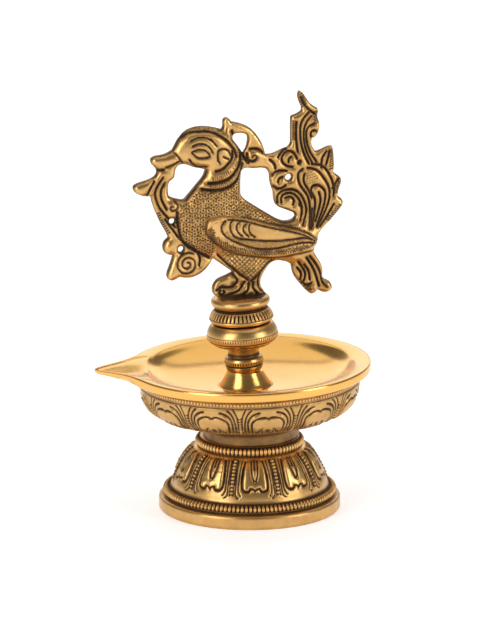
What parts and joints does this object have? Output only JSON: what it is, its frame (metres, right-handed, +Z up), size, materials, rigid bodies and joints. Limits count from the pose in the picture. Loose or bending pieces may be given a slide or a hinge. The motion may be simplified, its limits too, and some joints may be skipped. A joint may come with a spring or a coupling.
{
  "type": "standing oil lamp",
  "caption": "Brass standing oil lamp: waisted foot, petal-engraved cup, spouted oil dish and a flat bird finial, held in a stack by a tie rod.",
  "frame": {"origin": "centre of the foot's flat underside, which is also on the tie rod's axis", "axes": "+Z up along the tie rod; the flat bird lies in the XZ plane with its beak towards -X; the spout points to -X turned 11 degrees towards +Y"},
  "size_m": [0.1267, 0.1122, 0.1954],
  "materials": {
    "antique_brass": "hand engraved, darkened in the recesses",
    "bird_brass": "chased and punched, darkened in the recesses",
    "polished_brass": "bright polish",
    "steel": "zinc plated",
    "fibre": "vulcanised fibre"
  },
  "bodies": {
    "pedestal": {"pedestal": "antique_brass"},
    "cup": {"engraved_cup": "antique_brass"},
    "dish": {"oil_dish": "polished_brass"},
    "collar": {"cone_collar": "polished_brass", "seal_washer": "fibre"},
    "finial": {"ferrule": "antique_brass", "lower_knob": "antique_brass", "notched_ring": "antique_brass", "bird": "bird_brass", "tie_rod": "steel"},
    "washers": {"plain_washer": "steel", "spring_washer": "steel"},
    "nut": {"hex_nut": "steel"}
  },
  "joints": [
    {"name": "cup_lift", "type": "slide", "parent": "pedestal", "child": "cup", "axis": [0, 0, 1], "range_m": [0, 0.03]},
    {"name": "dish_lift", "type": "slide", "parent": "cup", "child": "dish", "axis": [0, 0, 1], "range_m": [0, 0.045]},
    {"name": "collar_lift", "type": "slide", "parent": "dish", "child": "collar", "axis": [0, 0, 1], "range_m": [0, 0.045]},
    {"name": "bird_turn", "type": "hinge", "parent": "collar", "child": "finial", "pos_m": [0, 0, 0.0652], "axis": [0, 0, 1], "continuous": true},
    {"name": "washer_drop", "type": "slide", "parent": "pedestal", "child": "washers", "axis": [0, 0, -1], "range_m": [0, 0.007]},
    {"name": "nut_turn", "type": "hinge", "parent": "washers", "child": "nut", "pos_m": [0, 0, 0.0247], "axis": [0, 0, -1], "range_deg": [0, 2530]}
  ],
  "couplings": [
    {"joint": "nut_turn", "follows": "washer_drop", "rad_per_m": 6283.2}
  ]
}
